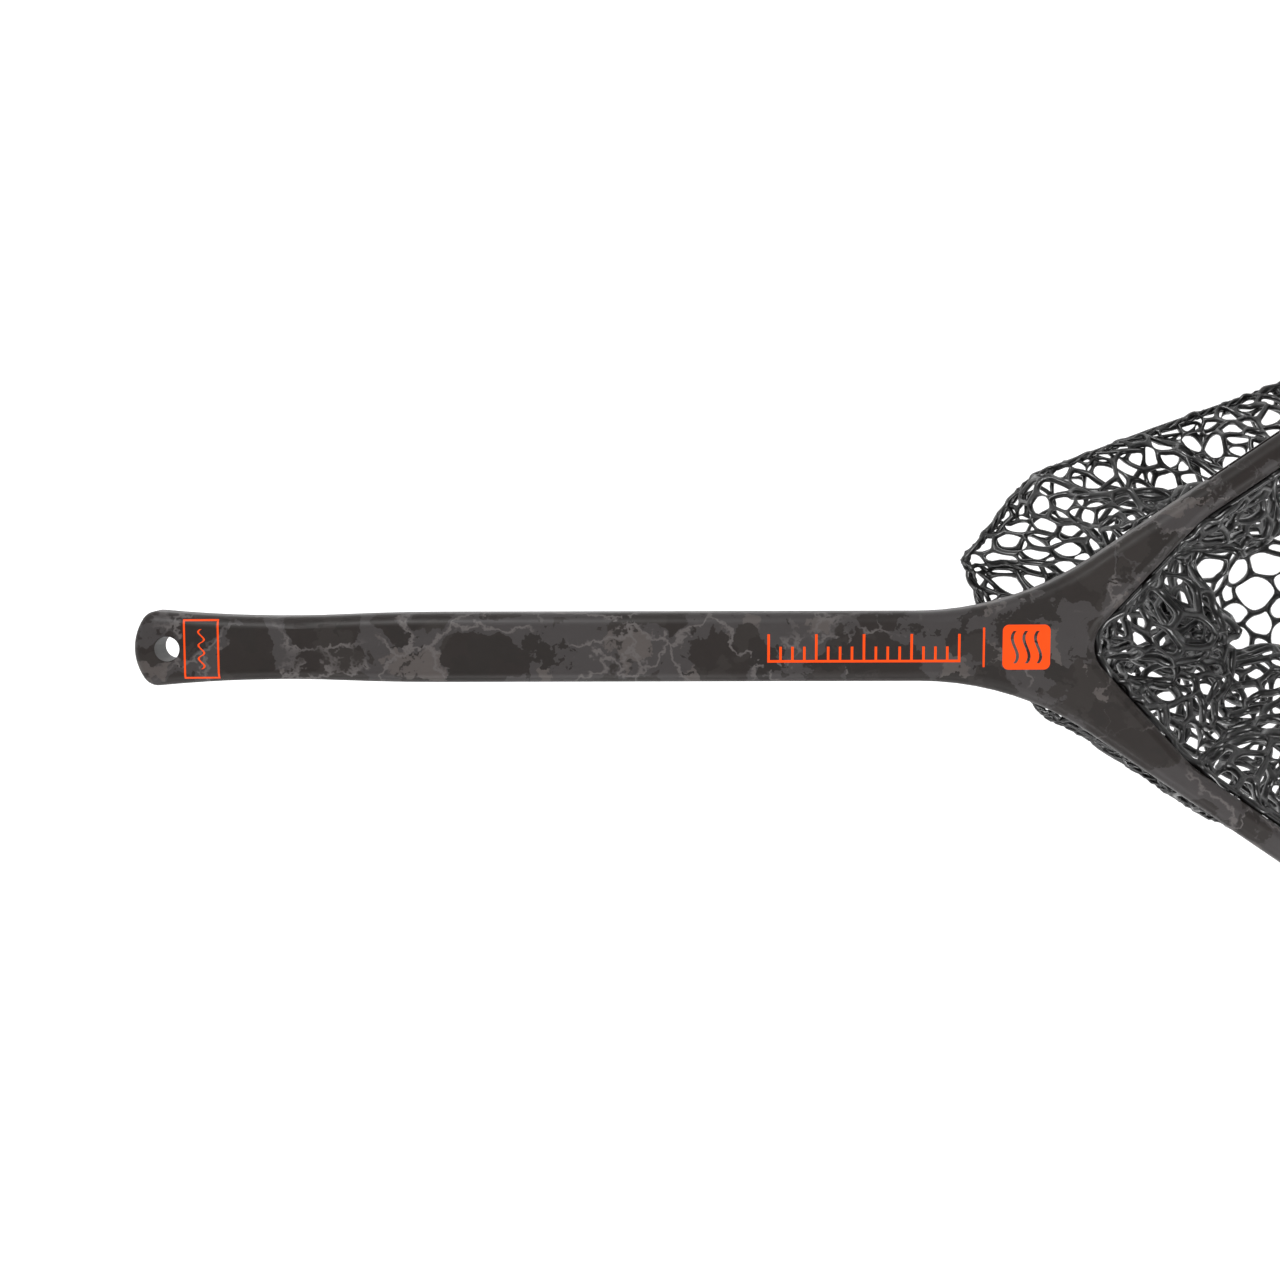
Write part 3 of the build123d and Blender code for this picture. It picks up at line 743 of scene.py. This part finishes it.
# ---------------------------------------------------------------- finishes of the frame's own pieces
FINISHES = {
    camouflage(): (
        "handle_front_shell",
        "handle_back_shell",
        "hoop_front_shell",
        "hoop_back_shell",
    ),
    closed_cell_foam(): ("foam_core",),
    braided_cord(): ("lacing_cord", "lacing_end_knots"),
    rubber: ("bag_rim", "bag_wall", "bag_floor", "bag_seam"),
    orange_print(): ("emblem_inlay", "divider_inlay", "scale_marks_inlay", "badge_inlay"),
}
for finish, nodes in FINISHES.items():
    for node in nodes:
        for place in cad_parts[node].material_slots:
            place.material = finish


# ---------------------------------------------------------------- stage, lights and camera
def paper_bowl(name, centre, profile, sides):
    """A round paper floor that sweeps up into a wall on every side."""
    turns = [2 * math.pi * side / sides for side in range(sides)]
    places = [
        (centre[0] + reach * math.cos(turn), centre[1] + reach * math.sin(turn), centre[2] + rise)
        for reach, rise in profile
        for turn in turns
    ]
    faces = [tuple(range(sides))]
    for ring in range(len(profile) - 1):
        for side in range(sides):
            low, after = ring * sides + side, ring * sides + (side + 1) % sides
            faces.append((low, low + sides, after + sides, after))
    mesh = bpy.data.meshes.new(name)
    mesh.from_pydata(places, [], faces)
    mesh.shade_smooth()
    return link(name, mesh)


def soft_light(name, place, target, size, power):
    lamp = bpy.data.lights.new(name, "AREA")
    lamp.shape = "SQUARE"
    lamp.size = size
    lamp.energy = power
    light = link(name, lamp)
    light.location = place
    light.rotation_euler = (Vector(target) - Vector(place)).to_track_quat("-Z", "Y").to_euler()


FLAT_RADIUS, SWEEP_RADIUS, WALL_HEIGHT = 2.5, 1.5, 3.5  # of the paper bowl
PAPER_GLOW = 0.28  # light of its own, so that the paper stays white under soft lamps
WORLD_STRENGTH = 0.22
SWEEP = [
    (FLAT_RADIUS + SWEEP_RADIUS * math.sin(lean), SWEEP_RADIUS - SWEEP_RADIUS * math.cos(lean))
    for lean in np.linspace(0, math.pi / 2, 13)
]
floor = paper_bowl(
    "studio_floor", (0.4, 0.0, -0.52), [*SWEEP, (FLAT_RADIUS + SWEEP_RADIUS, WALL_HEIGHT)], 96
)
paper = Shade("studio_paper", Roughness=0.9, Specular_IOR_Level=0.1, Emission_Strength=PAPER_GLOW)
floor.data.materials.append(paper.finish(Base_Color=(0.9, 0.9, 0.9, 1.0), Emission_Color=(1, 1, 1, 1)))

world = bpy.data.worlds.new("studio")
world.use_nodes = True
world.node_tree.nodes["Background"].inputs["Color"].default_value = (1, 1, 1, 1)
world.node_tree.nodes["Background"].inputs["Strength"].default_value = WORLD_STRENGTH
bpy.context.scene.world = world
bpy.context.scene.view_settings.view_transform = "Standard"
soft_light("key_softbox", (-0.2, 1.0, 1.5), (0.35, 0, 0), 0.8, 26)
soft_light("side_softbox", (1.3, -0.8, 1.2), (0.45, 0, -0.1), 0.5, 14)
soft_light("low_softbox", (0.1, -1.3, 0.9), (0.4, 0, -0.1), 0.6, 8)

AIM = Vector((0.2265, 0.003, 0.0))
EYE = AIM + Vector((0.0, 0.07, 0.8))
ROLL = math.radians(0.13)
HALF_VIEW = 0.310  # half of the width that the camera sees at AIM
lens = bpy.data.cameras.new("camera")
lens.angle = 2 * math.atan(HALF_VIEW / (EYE - AIM).length)
lens.clip_start = 0.01
camera = link("camera", lens)
ahead = (AIM - EYE).normalized()
right = ahead.cross(Vector((math.sin(ROLL), math.cos(ROLL), 0))).normalized()
turn = Matrix((right, right.cross(ahead), -ahead)).transposed()
camera.matrix_world = Matrix.Translation(EYE) @ turn.to_4x4()
bpy.context.scene.camera = camera
